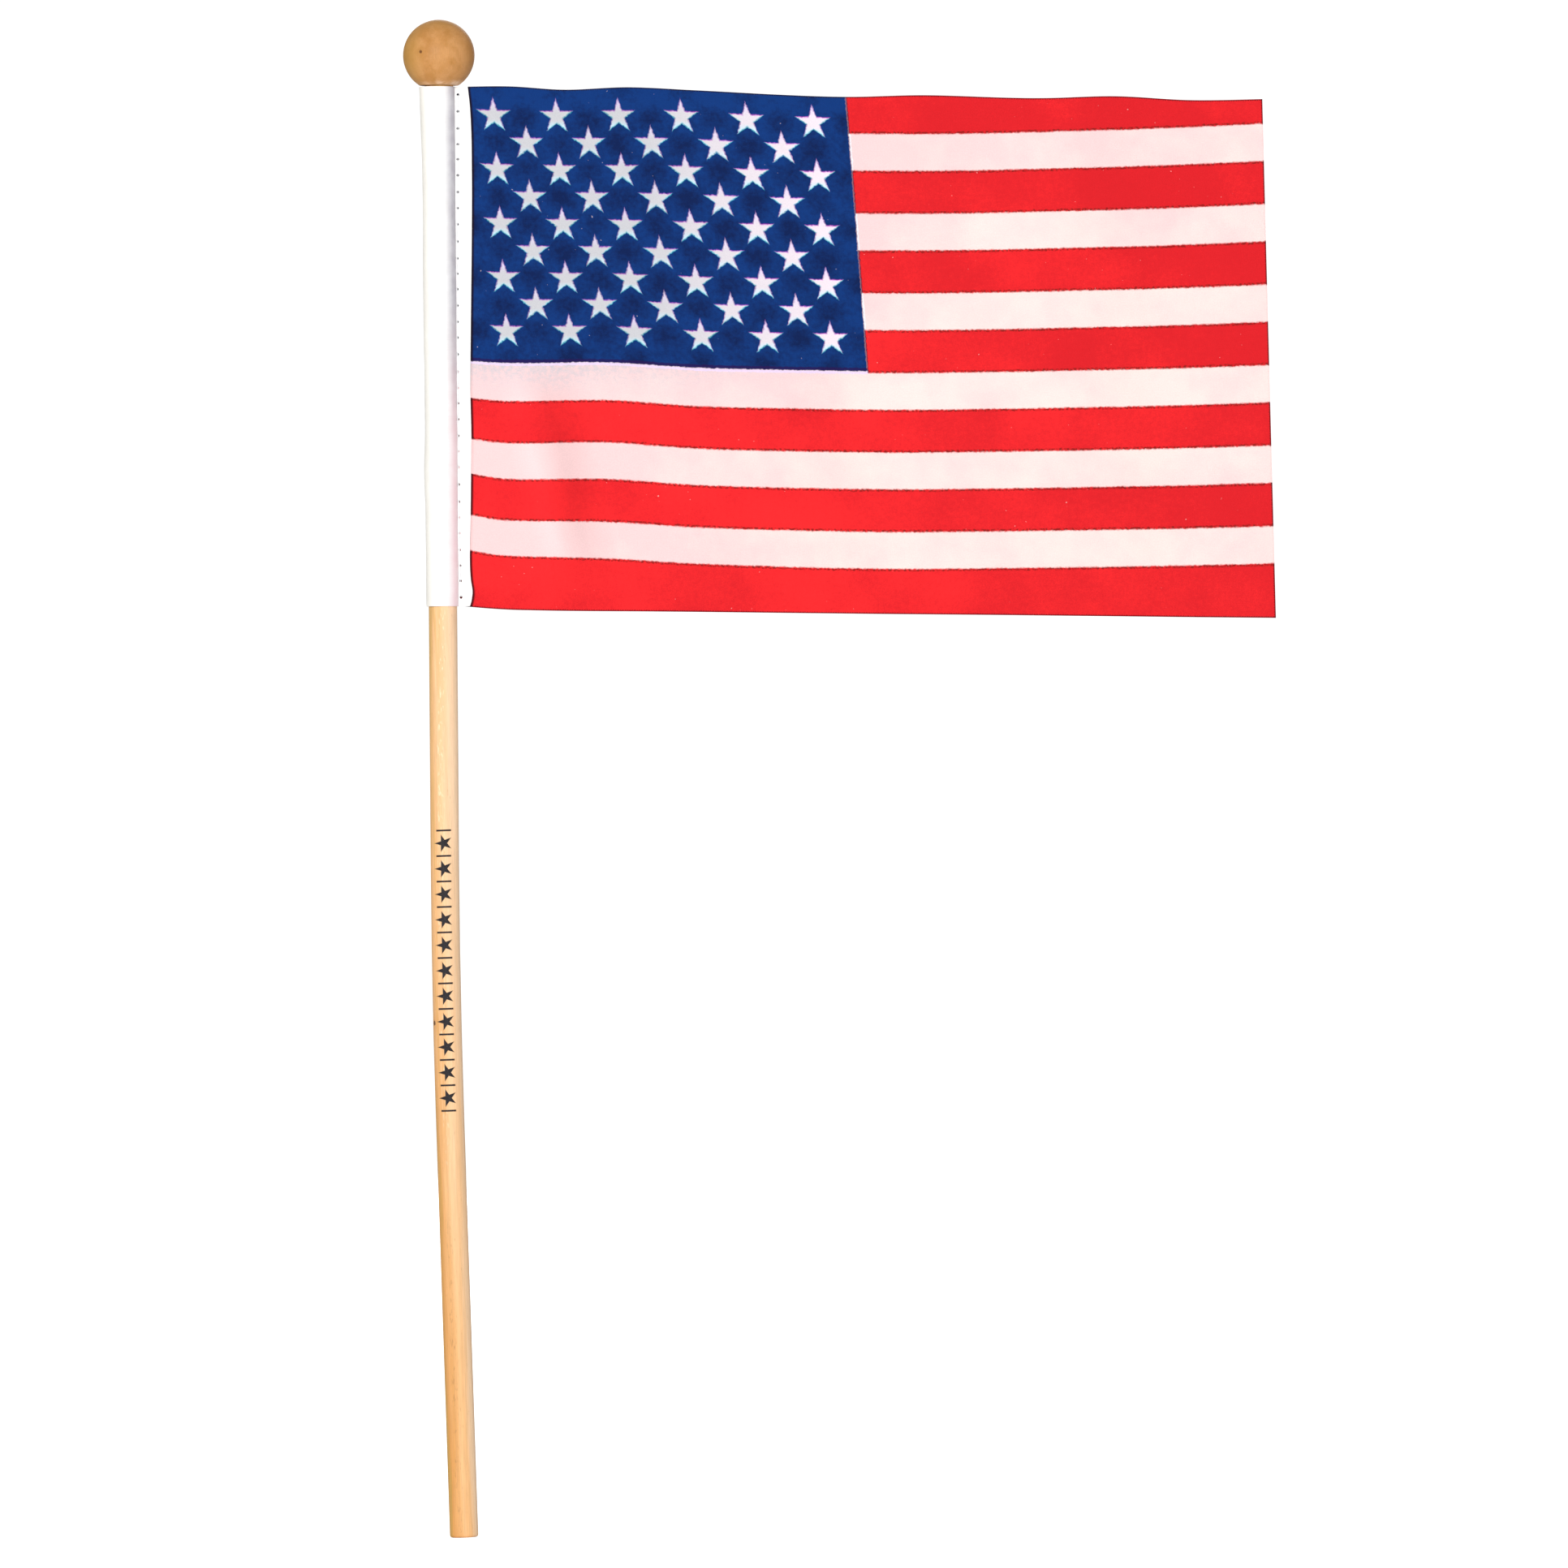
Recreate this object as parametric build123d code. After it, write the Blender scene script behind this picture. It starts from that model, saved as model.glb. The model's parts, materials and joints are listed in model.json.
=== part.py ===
from build123d import *
import math
import os

# A hand-held stick flag. A turned ball is glued on a wooden dowel, and a printed cloth flag is sewn
# into a folded white sleeve that turns on the dowel under the ball. Everything is in millimetres.
# Z runs up the dowel's lower stretch, the flag flies towards +X and its face looks along -Y. The
# origin is the centre of the dowel's lower end.

# Dowel: straight, then a slight bow towards +X, then straight again up into the ball
DOWEL_D = 5.56
LOWER_LENGTH = 81.0
BOW_LENGTH = 51.0
BOW_ANGLE = 1.5
UPPER_LENGTH = 152.0  # from the bow to the ball's mouth
FOOT_ROUNDING = 0.5
TOP_CHAMFER = 0.4

# Ball and glue
BALL_D = 14.0
MOUTH_DROP = 5.85  # from the ball's centre down to its flat mouth
MOUTH_ROUNDING = 0.2
BORE_DEPTH = 8.0
GLUE_FILM = 0.1
GLUE_AT_END = 0.3

# Sleeve: one strip of cloth folded round the dowel, its two flaps closed on the flag
SLEEVE_HEIGHT = 101.6
SLEEVE_BELOW_BALL = 0.3
SLEEVE_CLEARANCE = 0.1
SLEEVE_CLOTH = 0.25
FLAP_REACH = 6.2  # from the dowel's axis to the flaps' free edge
FLAPS_CLOSE_AT = 3.35  # from the dowel's axis to where the flaps meet the flag

# Flag: reaches are from the dowel's axis, droops are below the sleeve's two ends
FLAG_CLOTH = 0.2
FLY_REACH_TOP = 161.1
FLY_REACH_BOTTOM = 162.9
FLY_DROOP_TOP = 3.8
FLY_DROOP_BOTTOM = 3.5
EDGE_SAG = 0.6  # each long edge hangs this far below its chord

# Seam: needle holes through both flaps and the flag, and a thread on each face
STITCH_COUNT = 31
STITCH_PITCH = 3.175
STITCH_REACH = 3.8
NEEDLE_HOLE_D = 0.56
THREAD_D = 0.22
THREAD_LIFT = 0.01  # air between a thread and the cloth
LOOP_R = 0.12  # bend of the thread's loop at the bottom of each hole
CORNER_R = 0.15  # bend of the thread into each hole

DOWEL_R = DOWEL_D / 2
BORE_R = DOWEL_R + GLUE_FILM
SLEEVE_INNER_R = DOWEL_R + SLEEVE_CLEARANCE
SLEEVE_OUTER_R = SLEEVE_INNER_R + SLEEVE_CLOTH
SEAM_HALF = FLAG_CLOTH / 2 + SLEEVE_CLOTH  # half the thickness of the two flaps and the flag
BOW_R = BOW_LENGTH / math.radians(BOW_ANGLE)

UP = Vector(0, 0, 1)
AXIS = Vector(math.sin(math.radians(BOW_ANGLE)), 0, math.cos(math.radians(BOW_ANGLE)))
FLY = Vector(AXIS.Z, 0, -AXIS.X)

BOW_START = UP * LOWER_LENGTH
BOW_END = BOW_START + Vector(BOW_R * (1 - AXIS.Z), 0, BOW_R * AXIS.X)
MOUTH = BOW_END + AXIS * UPPER_LENGTH
SLEEVE_BOTTOM = MOUTH - AXIS * (SLEEVE_BELOW_BALL + SLEEVE_HEIGHT)


def placed(shape, origin):
    """Moves a shape from its own frame, x towards the fly and z up the dowel, to origin on the axis."""
    return Plane(origin=origin, x_dir=FLY, z_dir=AXIS).location * shape


def make_dowel():
    """One round bar: two straight stretches, joined by a long arc, with a rounded foot."""
    top = MOUTH + AXIS * (BORE_DEPTH - GLUE_AT_END)
    path = Wire(
        [
            Line((0, 0, 0), BOW_START),
            TangentArc(BOW_START, BOW_END, tangent=UP),
            Line(BOW_END, top),
        ]
    )
    bar = sweep(Plane.XY * Circle(DOWEL_R), path)
    bar = fillet(bar.edges().sort_by(Axis.Z)[0], FOOT_ROUNDING)
    return chamfer(bar.edges().sort_by(Axis.Z)[-1], TOP_CHAMFER)


def make_ball_finial():
    """A ball with a flat mouth, and a blind bore up into it."""
    ball = split(Pos(0, 0, MOUTH_DROP) * Sphere(BALL_D / 2), bisect_by=Plane.XY, keep=Keep.TOP)
    rim = ball.edges().filter_by(GeomType.CIRCLE).sort_by(Axis.Z)[0]
    ball = fillet(rim, MOUTH_ROUNDING)
    return placed(ball - blind_bore(), MOUTH)


def blind_bore():
    """The space inside the ball's bore, with its mouth at z = 0."""
    return extrude(Circle(BORE_R), BORE_DEPTH)


def make_finial_glue(dowel):
    """What the dowel leaves free of the bore: a thin cup of glue."""
    return placed(blind_bore(), MOUTH) - dowel


def pole_loop(radius, closing_x, half_gap):
    """A circle round the dowel with two tangents drawn to the points (closing_x, +-half_gap)."""
    distance = math.hypot(closing_x, half_gap)
    angle = math.atan2(half_gap, closing_x) + math.acos(radius / distance)
    tangent_x = radius * math.cos(angle)
    tangent_y = radius * math.sin(angle)
    wedge = Polygon(
        (tangent_x, tangent_y),
        (tangent_x, -tangent_y),
        (closing_x, -half_gap),
        (closing_x, half_gap),
        align=None,
    )
    return Circle(radius) + wedge


def flat_band(start_x, end_x, half_height):
    """A flat band along the seam, from start_x to end_x."""
    return Pos((start_x + end_x) / 2, 0) * Rectangle(end_x - start_x, 2 * half_height)


def make_pole_sleeve():
    """The folded strip: a loop round the dowel, then two flaps with the flag's slot between them."""
    outer_close = FLAPS_CLOSE_AT + SLEEVE_CLOTH
    outside = pole_loop(SLEEVE_OUTER_R, outer_close, SEAM_HALF)
    outside += flat_band(SLEEVE_INNER_R, FLAP_REACH, SEAM_HALF)
    inside = pole_loop(SLEEVE_INNER_R, FLAPS_CLOSE_AT, FLAG_CLOTH / 2)
    inside += flat_band(0, FLAP_REACH, FLAG_CLOTH / 2)
    sleeve = extrude(outside - inside, SLEEVE_HEIGHT)
    return placed(sleeve - needle_holes(), SLEEVE_BOTTOM)


def sagging_edge(start, end):
    """A shallow arc between two points (x, z) of the flag, hanging EDGE_SAG below its chord."""
    middle = ((start[0] + end[0]) / 2, (start[1] + end[1]) / 2 - EDGE_SAG)
    return ThreePointArc(start, middle, end)


def make_flag_field():
    """The flag: straight hoist and fly edges, and long edges that droop and sag a little."""
    hoist_bottom = (FLAPS_CLOSE_AT, 0)
    hoist_top = (FLAPS_CLOSE_AT, SLEEVE_HEIGHT)
    fly_bottom = (FLY_REACH_BOTTOM, -FLY_DROOP_BOTTOM)
    fly_top = (FLY_REACH_TOP, SLEEVE_HEIGHT - FLY_DROOP_TOP)
    outline = Wire(
        [
            sagging_edge(hoist_bottom, fly_bottom),
            Line(fly_bottom, fly_top),
            sagging_edge(fly_top, hoist_top),
            Line(hoist_top, hoist_bottom),
        ]
    )
    cloth = extrude(Plane.XZ * Face(outline), FLAG_CLOTH / 2, both=True)
    return placed(cloth - needle_holes(), SLEEVE_BOTTOM)


def needle_heights():
    """Heights of the needle holes above the sleeve's lower end, evenly spaced about its middle."""
    lowest = (SLEEVE_HEIGHT - STITCH_COUNT * STITCH_PITCH) / 2
    return [lowest + STITCH_PITCH * i for i in range(STITCH_COUNT + 1)]


def needle_holes():
    """The row of holes, as pegs that run through the flaps and the flag along y."""
    peg = extrude(Plane.XZ * Circle(NEEDLE_HOLE_D / 2), 2 * SEAM_HALF, both=True)
    return [Pos(STITCH_REACH, 0, height) * peg for height in needle_heights()]


def make_thread(side):
    """One continuous thread on the face at y = side: straight stitches, with a loop down each hole."""
    surface = side * (SEAM_HALF + THREAD_LIFT + THREAD_D / 2)
    shoulder = surface - side * CORNER_R
    loop_start = side * (THREAD_LIFT + THREAD_D / 2 + LOOP_R)
    into_cloth = (0, -side, 0)
    out_of_cloth = (0, side, 0)

    def point(y, z):
        return Vector(STITCH_REACH, y, z)

    heights = needle_heights()
    route = []
    for lower, upper in zip(heights, heights[1:]):
        leaves = lower + LOOP_R
        enters = upper - LOOP_R
        bend_out = point(surface, leaves + CORNER_R)
        bend_in = point(surface, enters - CORNER_R)
        route += [
            Line(point(loop_start, leaves), point(shoulder, leaves)),
            TangentArc(point(shoulder, leaves), bend_out, tangent=out_of_cloth),
            Line(bend_out, bend_in),
            TangentArc(bend_in, point(shoulder, enters), tangent=(0, 0, 1)),
            Line(point(shoulder, enters), point(loop_start, enters)),
        ]
        if upper != heights[-1]:
            far_leg = point(loop_start, upper + LOOP_R)
            route.append(TangentArc(point(loop_start, enters), far_leg, tangent=into_cloth))
    path = Wire(route)
    thread = sweep(Plane(origin=path @ 0, z_dir=path % 0) * Circle(THREAD_D / 2), path)
    return placed(thread, SLEEVE_BOTTOM)


dowel = make_dowel()
pieces = {
    "dowel": dowel,
    "ball_finial": make_ball_finial(),
    "finial_glue": make_finial_glue(dowel),
    "pole_sleeve": make_pole_sleeve(),
    "flag_field": make_flag_field(),
    "needle_thread": make_thread(-1),
    "bobbin_thread": make_thread(1),
}

os.makedirs("parts", exist_ok=True)
for name, piece in pieces.items():
    export_step(piece, f"parts/{name}.step")
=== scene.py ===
import json
import math

import bpy
import numpy as np
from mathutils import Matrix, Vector


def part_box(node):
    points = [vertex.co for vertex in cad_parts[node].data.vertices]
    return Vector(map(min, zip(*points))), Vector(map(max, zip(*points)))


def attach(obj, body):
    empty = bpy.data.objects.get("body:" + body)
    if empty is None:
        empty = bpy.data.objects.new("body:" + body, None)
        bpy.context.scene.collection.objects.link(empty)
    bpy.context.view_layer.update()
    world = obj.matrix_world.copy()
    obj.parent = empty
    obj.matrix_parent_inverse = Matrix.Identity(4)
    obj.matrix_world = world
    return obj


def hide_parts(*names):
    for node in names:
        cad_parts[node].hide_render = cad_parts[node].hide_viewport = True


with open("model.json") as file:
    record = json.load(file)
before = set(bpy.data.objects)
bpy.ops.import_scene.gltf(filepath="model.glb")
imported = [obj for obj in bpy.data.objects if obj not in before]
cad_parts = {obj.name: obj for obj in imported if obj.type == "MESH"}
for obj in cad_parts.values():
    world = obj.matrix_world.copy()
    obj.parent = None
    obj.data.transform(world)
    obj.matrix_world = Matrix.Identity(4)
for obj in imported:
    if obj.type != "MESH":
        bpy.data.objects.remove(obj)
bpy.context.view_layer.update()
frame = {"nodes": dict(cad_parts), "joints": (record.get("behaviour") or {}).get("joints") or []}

MM = 0.001

# A hand-held stick flag: a turned ball glued on a wooden dowel, and a printed cloth flag sewn into a
# white sleeve that turns on the dowel. It stands on its foot in a plain pale room, seen square on from
# a long way off, with the foot of the stick a little to the right of the ball.

# Measured from the dowel's foot along the lines of the view, in millimetres
VIEW_ACROSS = 62.55
VIEW_UP = 147.3
VIEW_WIDTH = 306.7
VIEW_LEAN = math.radians(1.93)
VIEW_DISTANCE = 2.6  # in metres
SENSOR = 36.0

view_right = Vector((math.cos(VIEW_LEAN), 0, -math.sin(VIEW_LEAN)))
view_up = Vector((math.sin(VIEW_LEAN), 0, math.cos(VIEW_LEAN)))
view_centre = (view_right * VIEW_ACROSS + view_up * VIEW_UP) * MM

bpy.ops.object.select_all(action="DESELECT")
bpy.ops.object.camera_add(
    location=view_centre - Vector((0, VIEW_DISTANCE, 0)),
    rotation=(math.pi / 2, VIEW_LEAN, 0),
)
camera = bpy.context.object
camera.data.sensor_width = SENSOR
camera.data.lens = SENSOR * VIEW_DISTANCE / (VIEW_WIDTH * MM)
scene = bpy.context.scene
scene.camera = camera
scene.view_settings.view_transform = "Standard"

FLOOR_SIZE = 12.0
PAPER = (0.9, 0.9, 0.9, 1)
WHITE_LIGHT = (1, 1, 1, 1)
bpy.ops.mesh.primitive_plane_add(size=FLOOR_SIZE)
floor = bpy.context.object
floor.name = "floor"
paper = bpy.data.materials.new("pale_floor")
paper.use_nodes = True
shader = paper.node_tree.nodes["Principled BSDF"].inputs
shader["Base Color"].default_value = PAPER
shader["Roughness"].default_value = 0.9
shader["Specular IOR Level"].default_value = 0.1
floor.data.materials.append(paper)

# One lamp stands before the flag, a little to the left and above, a broader and softer one behind it,
# and the pale room gives the rest. Floor and room are seen brighter than they light the flag, so that
# the two run together.
room = bpy.data.worlds.new("pale_room")
room.use_nodes = True
scene.world = room
background = room.node_tree.nodes["Background"].inputs
ROOM_LIGHT = 0.38
FLOOR_LIGHT = 0.0
SEEN_BRIGHTER = 0.7
for tree, strength, light in (
    (paper.node_tree, shader["Emission Strength"], FLOOR_LIGHT),
    (room.node_tree, background["Strength"], ROOM_LIGHT),
):
    seen = tree.nodes.new("ShaderNodeLightPath").outputs["Is Camera Ray"]
    boost = tree.nodes.new("ShaderNodeMath")
    boost.operation = "MULTIPLY_ADD"
    boost.inputs[1].default_value = SEEN_BRIGHTER
    boost.inputs[2].default_value = light
    tree.links.new(seen, boost.inputs[0])
    tree.links.new(boost.outputs["Value"], strength)
shader["Emission Color"].default_value = WHITE_LIGHT
background["Color"].default_value = WHITE_LIGHT

# (place and width in metres, power in watts)
LAMPS = {
    "key_lamp": (Vector((-0.30, -2.2, 0.78)), 0.5, 38.5),
    "back_lamp": (Vector((0.2, 2.2, 0.9)), 1.2, 20.0),
}
for lamp_name, (lamp_place, lamp_width, lamp_power) in LAMPS.items():
    aim = (view_centre - lamp_place).to_track_quat("-Z", "Y").to_euler()
    bpy.ops.object.light_add(type="AREA", location=lamp_place, rotation=aim)
    lamp = bpy.context.object
    lamp.name = lamp_name
    lamp.data.size = lamp_width
    lamp.data.energy = lamp_power


# The dowel is a bare sanded birch stick. Its grain runs lengthwise and it has one small knot at its left
# edge. Its colour is painted paler on the side towards the flag, and peach along that edge, as painted
# light where the lamp leaves it in shade, and olive along its left edge as painted shade. A row of small
# plain stars and bars is printed on its face in black ink.

def feed(tree, socket, value):
    """Links a socket to another node's output, or sets it to a plain value."""
    if isinstance(value, bpy.types.NodeSocket):
        tree.links.new(value, socket)
    else:
        socket.default_value = value


def add_node(tree, kind, settings=None, **sockets):
    """A new shader node, with its settings and the sockets that are named."""
    node = tree.nodes.new("ShaderNode" + kind)
    for name, value in (settings or {}).items():
        setattr(node, name, value)
    for name, value in sockets.items():
        feed(tree, node.inputs[name.replace("_", " ")], value)
    return node


def maths(tree, operation, *values):
    node = add_node(tree, "Math", {"operation": operation})
    for socket, value in zip(node.inputs, values):
        feed(tree, socket, value)
    return node.outputs["Value"]


def in_turn(tree, operation, values):
    """The first value, taken through one maths operation with each of the others."""
    result = values[0]
    for value in values[1:]:
        result = maths(tree, operation, result, value)
    return result


def total(tree, *values):
    return in_turn(tree, "ADD", values)


def product(tree, *values):
    return in_turn(tree, "MULTIPLY", values)


def blended(tree, factor, first, second, mode="MIX"):
    """The colour first where factor is 0, and second where it is 1."""
    node = add_node(tree, "Mix", {"data_type": "RGBA", "blend_type": mode})
    colours = [s for s in node.inputs if s.type == "RGBA"]
    feed(tree, node.inputs["Factor"], factor)
    feed(tree, colours[0], first)
    feed(tree, colours[1], second)
    return next(s for s in node.outputs if s.type == "RGBA")


def toned(tree, colour, tone):
    """The colour, made darker or lighter by the factor tone."""
    tint = add_node(tree, "CombineColor", Red=tone, Green=tone, Blue=tone).outputs["Color"]
    return blended(tree, 1.0, colour, tint, "MULTIPLY")


def spread(tree, value, low, high, new_low=0.0, new_high=1.0):
    """value, taken from low..high to new_low..new_high and held inside it."""
    ends = {"From_Min": low, "From_Max": high, "To_Min": new_low, "To_Max": new_high}
    return add_node(tree, "MapRange", Value=value, **ends).outputs["Result"]


def noise(tree, vector, scale, detail=3.0, roughness=0.55, distortion=0.0):
    kind = {"Scale": scale, "Detail": detail, "Roughness": roughness, "Distortion": distortion}
    return add_node(tree, "TexNoise", Vector=vector, **kind).outputs["Fac"]


def stretched(tree, vector, scale, location=(0, 0, 0)):
    node = add_node(tree, "Mapping", Vector=vector, Scale=scale, Location=location)
    return node.outputs["Vector"]


def millimetres(tree, place=(0, 0, 0)):
    """The piece's own coordinates in millimetres, counted from place."""
    coordinates = add_node(tree, "TexCoord").outputs["Object"]
    return stretched(tree, coordinates, (1 / MM,) * 3, tuple(-x for x in place))


def new_group(name, inputs, outputs):
    """A shader node group: its tree, its inputs by name, and its output node."""
    tree = bpy.data.node_groups.new(name, "ShaderNodeTree")
    for direction, sockets in (("INPUT", inputs), ("OUTPUT", outputs)):
        for socket_name, kind in sockets.items():
            tree.interface.new_socket(socket_name, in_out=direction, socket_type="NodeSocket" + kind)
    entry = tree.nodes.new("NodeGroupInput")
    return tree, entry.outputs, tree.nodes.new("NodeGroupOutput")


def hand_out(tree, outputs, **results):
    """Links a group's results to the sockets of its output node."""
    for name, value in results.items():
        feed(tree, outputs.inputs[name.replace("_", " ")], value)


def use_group(tree, group, **sockets):
    """The outputs of a group placed in tree, with this material's own values."""
    node = tree.nodes.new("ShaderNodeGroup")
    node.node_tree = group
    for name, value in sockets.items():
        feed(tree, node.inputs[name.replace("_", " ")], value)
    return node.outputs


def new_material(name):
    """A material with a Principled shader: the material, its tree and the shader's inputs."""
    material = bpy.data.materials.new(name)
    material.use_nodes = True
    return material, material.node_tree, material.node_tree.nodes["Principled BSDF"].inputs


def finish_shader(tree, shader, colour, roughness, specular, relief):
    """Gives the shader its colour, roughness and shine, and the relief of a Bump node."""
    feed(tree, shader["Base Color"], colour)
    feed(tree, shader["Roughness"], roughness)
    shader["Specular IOR Level"].default_value = specular
    feed(tree, shader["Normal"], relief.outputs["Normal"])


def make_wood_group():
    """Wood with its grain along Z: broad streaks, fine fibres, growth rings and dark pores."""
    tree, inputs, outputs = new_group(
        "wood_grain",
        {"Vector": "Vector", "Streak Size": "Float", "Ring Gap": "Float"},
        {"Streaks": "Float", "Fibres": "Float", "Rings": "Float", "Pores": "Float"},
    )
    along = stretched(tree, inputs["Vector"], (1, 1, 0.035))
    streak_scale = maths(tree, "DIVIDE", 1.0, inputs["Streak Size"])
    streaks = noise(tree, along, streak_scale, 4.0, 0.6, 0.4)
    fibres = noise(tree, stretched(tree, inputs["Vector"], (1, 1, 0.022)), 7.0, 5.0, 0.65)
    parts = add_node(tree, "SeparateXYZ", Vector=inputs["Vector"]).outputs
    wander = product(tree, noise(tree, along, 0.35, 2.0), 1.6)
    # The heart of the tree lies outside the piece, so its rings cross it as arcs
    to_heart = {"X": 9.0, "Y": -5.0}
    squares = [maths(tree, "POWER", total(tree, parts[axis], away), 2.0) for axis, away in to_heart.items()]
    radius = total(tree, maths(tree, "SQRT", total(tree, *squares)), wander)
    turn = product(tree, maths(tree, "DIVIDE", radius, inputs["Ring Gap"]), math.tau)
    rings = maths(tree, "POWER", spread(tree, maths(tree, "SINE", turn), -1.0, 1.0), 3.0)
    pores = noise(tree, stretched(tree, inputs["Vector"], (1, 1, 0.12)), 5.5, 1.0)
    hand_out(
        tree,
        outputs,
        Streaks=spread(tree, streaks, 0.3, 0.7),
        Fibres=fibres,
        Rings=rings,
        Pores=spread(tree, pores, 0.70, 0.80),
    )
    return tree


def make_knot_group():
    """A round spot with a soft halo, where a twig left the wood."""
    tree, inputs, outputs = new_group(
        "pin_knot",
        {"Vector": "Vector", "Centre": "Vector", "Radius": "Float"},
        {"Core": "Float", "Halo": "Float"},
    )
    distance = add_node(tree, "VectorMath", {"operation": "DISTANCE"})
    feed(tree, distance.inputs[0], inputs["Vector"])
    feed(tree, distance.inputs[1], inputs["Centre"])
    ragged = product(tree, noise(tree, inputs["Vector"], 3.0, 2.0), 0.8)
    share = maths(tree, "DIVIDE", distance.outputs["Value"], inputs["Radius"])
    share = total(tree, share, total(tree, ragged, -0.4))
    hand_out(
        tree,
        outputs,
        Core=spread(tree, share, 0.6, 1.1, 1.0, 0.0),
        Halo=spread(tree, share, 0.8, 4.0, 1.0, 0.0),
    )
    return tree


def make_star_group():
    """A five-pointed star with one point up. X and Y are millimetres from its centre."""
    tree, inputs, outputs = new_group(
        "five_point_star",
        {"X": "Float", "Y": "Float", "Radius": "Float", "Softness": "Float"},
        {"Mask": "Float"},
    )
    tip_angle = math.radians(72)
    squares = [maths(tree, "POWER", inputs[axis], 2.0) for axis in ("X", "Y")]
    radius = maths(tree, "SQRT", total(tree, *squares))
    angle = maths(tree, "ARCTAN2", inputs["X"], inputs["Y"])
    folded = maths(tree, "PINGPONG", angle, math.pi / 5)
    reach = product(tree, radius, maths(tree, "COSINE", maths(tree, "SUBTRACT", folded, tip_angle)))
    outside = maths(tree, "SUBTRACT", reach, product(tree, inputs["Radius"], math.cos(tip_angle)))
    mask = maths(tree, "SUBTRACT", 0.5, maths(tree, "DIVIDE", outside, inputs["Softness"]))
    hand_out(tree, outputs, Mask=spread(tree, mask, 0.0, 1.0))
    return tree


wood_grain = make_wood_group()
pin_knot = make_knot_group()
five_point_star = make_star_group()

PALE_BIRCH = (0.98, 0.67, 0.42, 1)
WARM_BIRCH = (0.90, 0.51, 0.225, 1)
FOOT_BIRCH = (0.76, 0.35, 0.095, 1)
PAINTED_LIGHT_PEACH = (1.0, 0.74, 0.50, 1)
PAINTED_SHADE_OLIVE = (0.60, 0.40, 0.10, 1)
RING_BIRCH = (0.62, 0.34, 0.13, 1)
PORE_BROWN = (0.45, 0.22, 0.08, 1)
PAINTED_GLINT_PALE = (1.0, 0.86, 0.58, 1)
BIRCH_KNOT = (0.16, 0.08, 0.03, 1)
BLACK_INK = (0.012, 0.010, 0.014, 1)

dowel_low, dowel_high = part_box("dowel")
DOWEL_RADIUS = (dowel_high.y - dowel_low.y) / 2 / MM
BOW_START = 81.0
BOW_RADIUS = 1948.0
FIRST_BAR = 83.5
MARK_GAP = 4.98
MARK_COUNT = 11
MARK_RADIUS = 1.8
ROW_LENGTH = MARK_COUNT * MARK_GAP
BAR_HALF_LENGTH = 1.45
BAR_WIDTH = 0.36
DOWEL_KNOT = (-2.45, -1.2, 100.7)


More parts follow.
